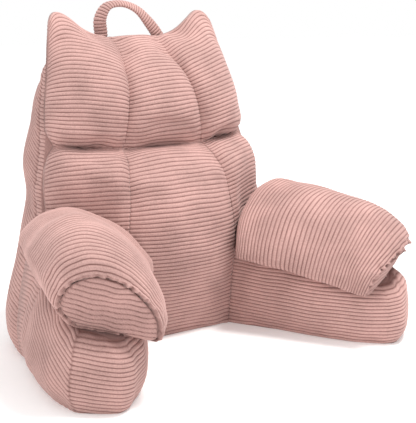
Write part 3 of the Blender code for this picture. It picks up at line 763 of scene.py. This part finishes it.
def make_body(material):
    coarse = body_grid(BODY_RIBS, BODY_COLUMNS)
    front = np.stack([coarse[:, 0], coarse[:, -1]], axis=1)
    patches = [coarse, front] + [cap_rows(coarse[row], 2) for row in (0, -1)]
    fill = swelling(patches, pinned(coarse, (0, -1)), BODY_SWELL)
    grid = body_grid(BODY_RIBS * BODY_ROWS, BODY_COLUMNS * BODY_FINE) + refine(fill, BODY_ROWS, BODY_FINE)
    normal = outward(grid)
    z = grid[..., 2]
    behind = grid[..., 1] - recline(z)
    past_back = abs(grid[..., 0]) - BACK_SEAM_SHARE * abs(grid[:, :1, 0])
    slope = spline(SIDE_RIB_SLOPE, z.reshape(-1)).reshape(z.shape)
    strip = np.clip((z - STRIP_FOOT) / STRIP_FADE, 0, 1)
    turned = np.where(past_back < 0, 0, np.maximum(behind - SIDE_SEAM_DEPTH * strip, 0))
    seed = SEEDS["body"]
    phase = BODY_RIB_START + (z - slope * turned) / RIB_PITCH
    phase += np.clip(behind / LUMPS_IN, 0, 1) * uneven(grid, WAVER["body"], seed)
    rib = rib_relief(phase)
    side_seam = strip * bell(behind - SIDE_SEAM_DEPTH, SIDE_SEAM_WIDTH)
    back_seam = bell(past_back, BACK_SEAM_WIDTH)
    seams = np.maximum(side_seam, back_seam) * np.clip((BODY_TOP - z) / BODY_SEAM_FADE, 0, 1)
    inner = np.clip(np.minimum(behind, z) / LUMPS_IN, 0, 1)
    push = inner * uneven(grid, LUMPS["body"], seed + 1)
    push += seams * (uneven(grid, PUCKERS, seed + 2) - BODY_SEAM_SINK)
    quiet = (1 - 0.5 * seams) * np.clip(behind / STRIP_EDGE, 1 - strip, 1)
    push += RIB_HEIGHT * rib * quiet
    grid = grid + push[..., None] * normal
    grid[..., 2] = np.maximum(grid[..., 2], 0)
    grid[..., 1] = np.maximum(grid[..., 1], recline(grid[..., 2]))
    grid[-1, :, 2] = BODY_TOP
    shell = Shell()
    shell.add_grid(grid, rib * quiet)
    shell.add_grid(np.stack([grid[:, 0], grid[:, -1]], axis=1))
    shell.add_grid(cap_rows(grid[0], 2))
    top = cap_rows(grid[-1], BODY_TOP_ROWS)
    top_rib = rib_relief(run_along(top, 0) / RIB_PITCH + 0.5)
    top_rib[:, [0, -1]] = top_rib[[0, -1]] = 0
    top[..., 2] -= RIB_HEIGHT * (1 - top_rib)
    top[0], top[-1] = cap_rows(grid[-1], 2)
    shell.add_grid(top, top_rib)
    return add_piece("back_body_cloth", shell, ("back_body",), material)


# ---- the arms


def seat_height(x, y):
    """Height of the seat between an arm's base and its bolster, at a plan position at +X."""
    dx, dy = x - SEAT_CORNER[0], y - SEAT_CORNER[1]
    out = dx * math.cos(ARM_SPLAY) + dy * math.sin(ARM_SPLAY)
    back = dy * math.cos(ARM_SPLAY) - dx * math.sin(ARM_SPLAY)
    return SEAT_Z + SEAT_RISE_OUT * out + SEAT_RISE_BACK * back


def base_grid(rows, fine):
    """The base's walls: rows from the floor to the seat, from the lumbar pad round to the body."""
    sides = zip((BASE_INNER, BASE_FRONT, BASE_OUTER), BASE_COLUMNS)
    runs = [along(line, columns * fine + 1) for line, columns in sides]
    plan = np.concatenate([runs[0], runs[1][1:], runs[2][1:]])
    centre = plan.mean(axis=0)
    outwards = unit(plan - centre)
    lumbar_seam = sorted((z, x) for _, x, _, z in LUMBAR_SEAM)
    crease = np.clip(1 + plan[:, 1] / CREASE_DEPTH, 0, 1) * (plan[:, 0] < CREASE_REACH)
    flank = np.interp(plan[:, 0], FLANK_X, (0, 1)) * np.interp(plan[:, 1], FLANK_Y, (0, 1))
    brow = TOP_INSET + BROW * np.interp(plan[:, 1], BROW_Y, (1, 0))
    join = np.interp(plan[:, 0], FLANK_X, (0, 1)) * np.interp(plan[:, 1], JOIN_Y, (0, 1))
    free = (1 - crease) * (1 - join)
    grid = np.empty((rows + 1, len(plan), 3))
    for i, share in enumerate(np.linspace(0, 1, rows + 1)):
        top = brow[:, None] * max(0.0, (share - TOP_SHARE) / (1 - TOP_SHARE)) ** 2
        foot = FOOT_INSET * max(0.0, 1 - share / FOOT_SHARE) ** 2
        bulge = BASE_BULGE * math.sin(math.pi * share) - top - foot * (1 - flank[:, None])
        ring = plan + bulge * free[:, None] * outwards
        z = share * (seat_height(ring[:, 0], ring[:, 1]) - GAP)
        half_width = spline(BODY_SECTIONS, z)[:, 0]
        beside_pad = spline(lumbar_seam, z)[:, 0] + CREASE_GAP
        ring[:, 0] -= (BASE_OUTER[-1][0] - half_width) * flank
        ring[:, 0] += (beside_pad - BASE_INNER[0][0]) * crease
        grid[i] = np.column_stack([ring, z])
    return grid


def behind_base(column):
    """A base's border column laid on the reclined plane."""
    return np.column_stack([column[:, 0], recline(column[:, 2]) - GAP, column[:, 2]])


def make_base(word, side, material):
    coarse = base_grid(BASE_RIBS, 1)
    ends = [behind_base(coarse[:, 0]), behind_base(coarse[:, -1])]
    closed = np.concatenate([ends[0][:, None], coarse, ends[1][:, None]], axis=1)
    patches = [closed, np.stack(ends, axis=1)] + [cap_rows(closed[row], 2) for row in (0, -1)]
    fill = swelling(patches, pinned(closed, BASE_HELD), BASE_SWELL)[:, 1:-1]
    grid = base_grid(BASE_RIBS * ROWS_PER_RIB, BASE_FINE) + refine(fill, ROWS_PER_RIB, BASE_FINE)
    normal = outward(grid)
    run = run_along(grid, 1)
    corners = np.cumsum(BASE_COLUMNS[:2]) * BASE_FINE
    front_run = np.clip(run - run[:, corners[:1]], 0, run[:, corners[1:]] - run[:, corners[:1]])
    outer_run = np.maximum(run - run[:, corners[1:]], 0)
    z = grid[..., 2]
    seed = SEEDS["base"] + side
    climb = FRONT_RIB_SLOPE * front_run + OUTER_RIB_SLOPE * outer_run - OUTER_RIB_TURN * outer_run**2
    to_body = np.maximum(run[:, -1:] - run, 0)
    free = np.clip(to_body / LUMPS_IN, 0, 1)
    wide = OUTER_RIB_STRETCH * to_body / (to_body + outer_run) * (outer_run > 0)
    phase = (z - climb) / (RIB_PITCH * (1 + wide)) + 0.5 + free * uneven(grid, WAVER["base"], seed)
    rib = rib_relief(phase)
    seams = 0
    for corner, depth in zip(corners, CORNER_SEAMS):
        seams = seams + depth * bell(run - run[:, [corner]], CORNER_SEAM_WIDTH)
    inner = free * np.clip(np.minimum(z, run) / LUMPS_IN, 0, 1)
    push = inner * uneven(grid, LUMPS["base"], seed + 3)
    push += seams * (uneven(grid, PUCKERS, seed + 5) - CORNER_SEAM_SINK)
    quiet = 1 - 0.5 * np.clip(seams, 0, 1)
    push += RIB_HEIGHT * rib * quiet
    grid = grid + push[..., None] * normal
    grid[..., 2] = np.clip(grid[..., 2], 0, seat_height(grid[..., 0], grid[..., 1]) - GAP)
    grid[..., 1] = np.minimum(grid[..., 1], recline(grid[..., 2]) - GAP)
    ends = [behind_base(grid[:, 0]), behind_base(grid[:, -1])]
    grid = np.concatenate([ends[0][:, None], grid, ends[1][:, None]], axis=1) * (side, 1, 1)
    # painted shade just under the seat, where the bolster overhangs the base
    below_seat = seat_height(grid[:, 1:-1, 0] * side, grid[:, 1:-1, 1]) - grid[:, 1:-1, 2]
    quiet *= 1 - SEAT_SHADE * bell(below_seat, SEAT_SHADE_REACH)
    rib = np.pad(rib * quiet, [(0, 0), (1, 1)], mode="edge")
    shell = Shell()
    shell.add_grid(grid, rib)
    shell.add_grid(np.stack([grid[:, 0], grid[:, -1]], axis=1))
    shell.add_grid(cap_rows(grid[0], 2))
    lid = cap_rows(grid[-1], 2)
    # the lid's colour is painted shade, as of the bolster's shadow
    shell.add_grid(lid, np.full(lid.shape[:2], LID_PAINTED_SHADE))
    name = "arm_base_" + word
    return add_piece(name + "_cloth", shell, (name,), material)


def bolster_grid(side, rows, fine):
    """Closed rings round a bolster of the given side, drawn at +X, from its back to its front."""
    row_table, section_table, droop_table = BOLSTERS[side]
    section = np.maximum(along(section_table, BOLSTER_COLUMNS * fine + 1), 0)
    under = np.linspace(section[-1], section[0], BOLSTER_UNDER * fine + 1)[1:]
    share, up = np.concatenate([section, under]).T
    tip = np.clip(1 - share / DROOP_SHARE, 0, 1) * np.clip(1 - up / DROOP_UP, 0, 1)
    grid = np.empty((rows + 1, len(share), 3))
    even = np.linspace(0, 1, rows + 1)
    at = even - RIB_SPREAD * even * (1 - even) ** 2
    for i, (row, droop) in enumerate(zip(spline(row_table, at), spline(droop_table, at))):
        x_in, y_in, x_out, y_out, bow, height, lean = row
        across = np.array((x_out - x_in, y_out - y_in))
        forward = unit(np.array((across[1], -across[0])))
        push = lean * up * height - bow * 4 * share * (1 - share)
        x = x_in + across[0] * share + forward[0] * push
        y = y_in + across[1] * share + forward[1] * push
        grid[i] = np.column_stack([x, y, seat_height(x, y) + up * height + GAP - droop * tip])
    return grid


def panel_frame(rim):
    """Middle and forward direction of a bolster's flat front rim."""
    quarter = len(rim) // 4
    forward = unit(np.cross(rim[quarter] - rim[0], rim[2 * quarter] - rim[0]))
    return rim.mean(axis=0), forward * -np.sign(forward[1])


def make_bolster(word, side, material):
    ribs = BOLSTER_RIBS[side]
    coarse = bolster_grid(side, ribs, 1)
    patches = [coarse] + [cap_rows(coarse[row], 2) for row in (0, -1)]
    underside = range(BOLSTER_COLUMNS, coarse.shape[1])
    fill = swelling(patches, pinned(coarse, (0, *underside)), BOLSTER_SWELL)
    grid = bolster_grid(side, ribs * ROWS_PER_RIB, BOLSTER_FINE) + refine(fill, ROWS_PER_RIB, BOLSTER_FINE)
    middle, forward = panel_frame(bolster_grid(side, 2, 1)[-1])
    normal = outward(grid, ring=True)
    seed = SEEDS["bolster"] + side
    down = run_along(grid, 0)
    to_rim = down[-1:] - down
    inner = np.clip(to_rim / LUMPS_IN, 0, 1)
    gathers = RUFFLE[side] * ruffle(run_along(grid, 1)[-1], seed)
    row = np.linspace(0, ribs, len(grid))[:, None]
    rib = rib_relief(row + inner * uneven(grid, WAVER["bolster"], seed + 1))
    push = inner * uneven(grid, LUMPS["bolster"], seed + 2)
    push += RIM_GATHER * np.exp(-to_rim / RIM_GATHER_REACH) * gathers
    crumples = CRUMPLE_HEIGHT * RUFFLE[side] * ripple(grid, CRUMPLE_SIZE, seed + 4)
    push += crumples * np.exp(-to_rim / CRUMPLE_REACH)
    push += RIB_HEIGHT * rib
    grid = grid + push[..., None] * normal
    inwards = unit(middle - grid[-1])
    lip = []
    for inset, lift in LIP[1:]:
        wave = (gathers * (LIP_WAVE + LIP_WAVE_SPREAD * inset))[:, None]
        lip.append(grid[-1] + (inset + LIP_WAVE_IN * wave) * inwards + (lift + wave) * forward)
    # painted light and shade on the lip's gathers: lighter where a gather stands out, darker where it sinks
    lip_painted_shading = LIP_PAINTED_SHADING[0] + LIP_PAINTED_SHADING[1] * gathers
    grid, rib = np.concatenate([grid, lip]), np.concatenate([rib, [lip_painted_shading] * len(lip)])
    grid[:, -1] = grid[:, 0]
    above = seat_height(grid[..., 0], grid[..., 1]) + GAP
    grid[..., 2] = np.maximum(grid[..., 2], above)
    grid *= (side, 1, 1)
    shell = Shell()
    shell.add_grid(grid, rib)
    shell.add_grid(cap_rows(grid[0], 2))
    shell.add_grid(cap_rows(grid[-1], 2))
    name = "armrest_" + word
    return add_piece(name + "_cloth", shell, (name,), material)


def ruffle(run, seed):
    """Uneven gathers along a closed rim, from -1 to 1."""
    rng = np.random.default_rng(seed)
    turn = 2 * math.pi * run / run[-1]
    total = 0
    for waves in RUFFLE_WAVES:
        total = total + rng.uniform(0.5, 1.0) * np.sin(waves * turn + rng.uniform(0, 2 * math.pi))
    swell = 0.65 + 0.35 * np.sin(3 * turn + rng.uniform(0, 2 * math.pi))
    return total * swell / 2.4


def make_end_panel(word, side, material):
    """The D-shaped panel inside a bolster's lip, with its ribs along the bolster's underside."""
    rim = bolster_grid(side, 2, PANEL_RIM_FINE)[-1][: BOLSTER_COLUMNS * PANEL_RIM_FINE + 1]
    middle, forward = panel_frame(bolster_grid(side, 2, 1)[-1])
    chord = unit(rim[-1] - rim[0])
    upright = np.cross(chord, forward)
    upright *= np.sign(upright[2])
    rim = rim + PANEL_INSET * unit(middle - rim)
    half = len(rim) // 2
    left = along(rim[: half + 1], PANEL_ROWS + 2)[:-1]
    right = along(rim[half:][::-1], PANEL_ROWS + 2)[:-1]
    shares = np.linspace(0, 1, PANEL_COLUMNS + 1)[None, :, None]
    flat = left[:, None] * (1 - shares) + right[:, None] * shares
    seed = SEEDS["panel"] + side
    swell = np.outer(arch(np.linspace(0, 1, len(flat))), arch(shares.reshape(-1)))
    phase = (flat - rim[0]) @ upright / PANEL_RIB_PITCH + uneven(flat, WAVER["panel"], seed)
    rib = rib_relief(phase)
    push = PANEL_EDGE + swell * (PANEL_SWELL + uneven(flat, LUMPS["panel"], seed + 1))
    push += RIB_HEIGHT * rib * np.clip(PANEL_RIB_START * swell, 0, 1)
    front = (flat + (GAP + push[..., None]) * forward) * (side, 1, 1)
    back = (flat + GAP * forward) * (side, 1, 1)
    shell = Shell()
    shell.add_grid(front, rib)
    shell.add_grid(back)
    for strip in border_strips(front, back):
        shell.add_grid(strip)
    name = "end_panel_" + word
    return add_piece(name + "_cloth", shell, (name,), material)


# ---- the handle


def make_handle(material):
    rows = HANDLE_RIBS * ROWS_PER_RIB + 1
    path = along(HANDLE_PATH, rows)
    direction = unit(np.gradient(path, axis=0))
    direction[[0, -1]] = ((0, 0, 1), (0, 0, -1))
    depth = np.array((0.0, 1.0, 0.0))
    angles = np.linspace(0, 2 * math.pi, HANDLE_SIDES + 1)
    angles[-1] = 0
    across = np.cross(direction, depth)
    share = np.linspace(0, 1, rows)[:, None]
    twist = HANDLE_TWIST * np.sin(math.pi * share) ** 2 * 2 * (1 - share)
    wide = np.cos(twist) * across + np.sin(twist) * depth
    thin = np.cos(twist) * depth - np.sin(twist) * across
    ring = 0.5 * HANDLE_WIDTH * np.cos(angles)[None, :, None] * wide[:, None]
    ring = ring + 0.5 * HANDLE_THICKNESS * np.sin(angles)[None, :, None] * thin[:, None]
    rib = rib_relief(np.linspace(0, HANDLE_RIBS, rows) + 0.5)[:, None] * np.ones(len(angles))
    grid = path[:, None] + ring + (rib * RIB_HEIGHT)[..., None] * unit(ring)
    grid[..., 2] = np.maximum(grid[..., 2], HANDLE_PATH[0][2])
    shell = Shell()
    shell.add_grid(grid, rib)
    shell.add_grid(cap_rows(grid[0], 2))
    shell.add_grid(cap_rows(grid[-1], 2))
    return add_piece("handle_strap", shell, ("handle",), material)


# ---- materials


def set_inputs(node, values):
    for name, value in values.items():
        node.inputs[name].default_value = value


def cloth_material(name):
    """Ribbed pile: lighter on the ribs' crests than between them, as painted light and shade, a little
    uneven, with a soft sheen.
    """
    crest, groove = CLOTHS[name]
    material = bpy.data.materials.new(name)
    material.use_nodes = True
    nodes, links = material.node_tree.nodes, material.node_tree.links
    surface = nodes["Principled BSDF"]
    set_inputs(surface, {"Roughness": 0.9, "Specular IOR Level": 0.15})
    set_inputs(surface, {"Sheen Weight": 0.25, "Sheen Roughness": 0.45, "Sheen Tint": (1.0, 0.80, 0.77, 1.0)})
    place = nodes.new("ShaderNodeTexCoord")
    rib = nodes.new("ShaderNodeAttribute")
    rib.attribute_name = "rib"
    # painted light and shade: the ribs' lightness picks a colour from the groove's to the crest's
    ramp = nodes.new("ShaderNodeValToRGB")
    low, high = ramp.color_ramp.elements
    low.position, low.color = 0.0, groove
    high.position, high.color = CREST_START, crest
    links.new(rib.outputs["Fac"], ramp.inputs["Fac"])
    patchy = nodes.new("ShaderNodeTexNoise")
    set_inputs(patchy, {"Scale": 14.0, "Detail": 4.0})
    links.new(place.outputs["Object"], patchy.inputs["Vector"])
    pile = nodes.new("ShaderNodeTexNoise")
    set_inputs(pile, {"Scale": 420.0, "Detail": 3.0})
    links.new(place.outputs["Object"], pile.inputs["Vector"])
    shade = nodes.new("ShaderNodeMath")
    shade.operation = "ADD"
    links.new(patchy.outputs["Fac"], shade.inputs[0])
    links.new(pile.outputs["Fac"], shade.inputs[1])
    level = nodes.new("ShaderNodeMapRange")
    set_inputs(level, {"From Min": 0.6, "From Max": 1.4, "To Min": 0.72, "To Max": 1.26})
    links.new(shade.outputs["Value"], level.inputs["Value"])
    colour = nodes.new("ShaderNodeVectorMath")
    colour.operation = "SCALE"
    links.new(ramp.outputs["Color"], colour.inputs[0])
    links.new(level.outputs["Result"], colour.inputs["Scale"])
    links.new(colour.outputs["Vector"], surface.inputs["Base Color"])
    bump = nodes.new("ShaderNodeBump")
    set_inputs(bump, {"Strength": 0.35, "Distance": 0.0006})
    links.new(pile.outputs["Fac"], bump.inputs["Height"])
    links.new(bump.outputs["Normal"], surface.inputs["Normal"])
    return material


# ---- the studio


def add_light(name, place, size, energy, tint):
    data = bpy.data.lights.new(name, "AREA")
    data.shape = "DISK"
    data.size = size
    data.energy = energy
    data.color = tint
    light = new_object(name, data)
    light.location = place
    aim = Vector(LIGHTS_AIM) - Vector(place)
    light.rotation_euler = aim.to_track_quat("-Z", "Y").to_euler()


def make_studio():
    """A white floor under a white sky, soft lights, and the camera of the photo."""
    scene = bpy.context.scene
    mesh = bpy.data.meshes.new("floor")
    low, high = -FLOOR_REACH, FLOOR_REACH
    mesh.from_pydata([(low, low, 0), (high, low, 0), (high, high, 0), (low, high, 0)], [], [(0, 1, 2, 3)])
    white = bpy.data.materials.new("floor_white")
    white.use_nodes = True
    surface = white.node_tree.nodes["Principled BSDF"]
    set_inputs(surface, {"Base Color": (0.95, 0.95, 0.95, 1), "Roughness": 0.9, "Specular IOR Level": 0.0})
    set_inputs(surface, {"Emission Color": (1, 1, 1, 1), "Emission Strength": 0.10})
    mesh.materials.append(white)
    floor = new_object("floor", mesh)
    world = bpy.data.worlds.new("studio")
    world.use_nodes = True
    set_inputs(world.node_tree.nodes["Background"], {"Color": (1, 1, 1, 1), "Strength": 1.0})
    scene.world = world
    scene.view_settings.view_transform = "Standard"
    add_light("key", (0.8, -0.8, 3.5), 1.0, 101, (1.0, 0.99, 0.97))
    add_light("fill", (-2.8, -1.2, 1.3), 1.4, 16, (1.0, 0.99, 0.98))
    data = bpy.data.cameras.new("camera")
    data.lens = FOCAL_LENGTH
    data.sensor_width = SENSOR
    camera = new_object("camera", data)
    shift = Vector((0, -BODY_MIDDLE_Y, 0))
    camera.location = Vector(CAMERA_AT) + shift
    aim = Vector(CAMERA_AIM) - Vector(CAMERA_AT)
    camera.rotation_euler = aim.to_track_quat("-Z", "Y").to_euler()
    scene.camera = camera


# ---- everything

cloths = {name: cloth_material(name) for name in CLOTHS}
make_studio()
# the body's cloth is the side cloth, with painted shade
make_body(cloths["side_cloth"])
make_head_pad(cloths["pad_cloth"])
make_lumbar_pad(cloths["pad_cloth"])
# The left base's cloth has painted shade, the right base's painted light, and the end panels' cloth painted
# shade.
for word, side, base_cloth in (("left", -1, "side_cloth"), ("right", 1, "painted_light_side_cloth")):
    make_base(word, side, cloths[base_cloth])
    make_bolster(word, side, cloths["pad_cloth"])
    make_end_panel(word, side, cloths["painted_shade_end_cloth"])
make_handle(cloths["pad_cloth"])
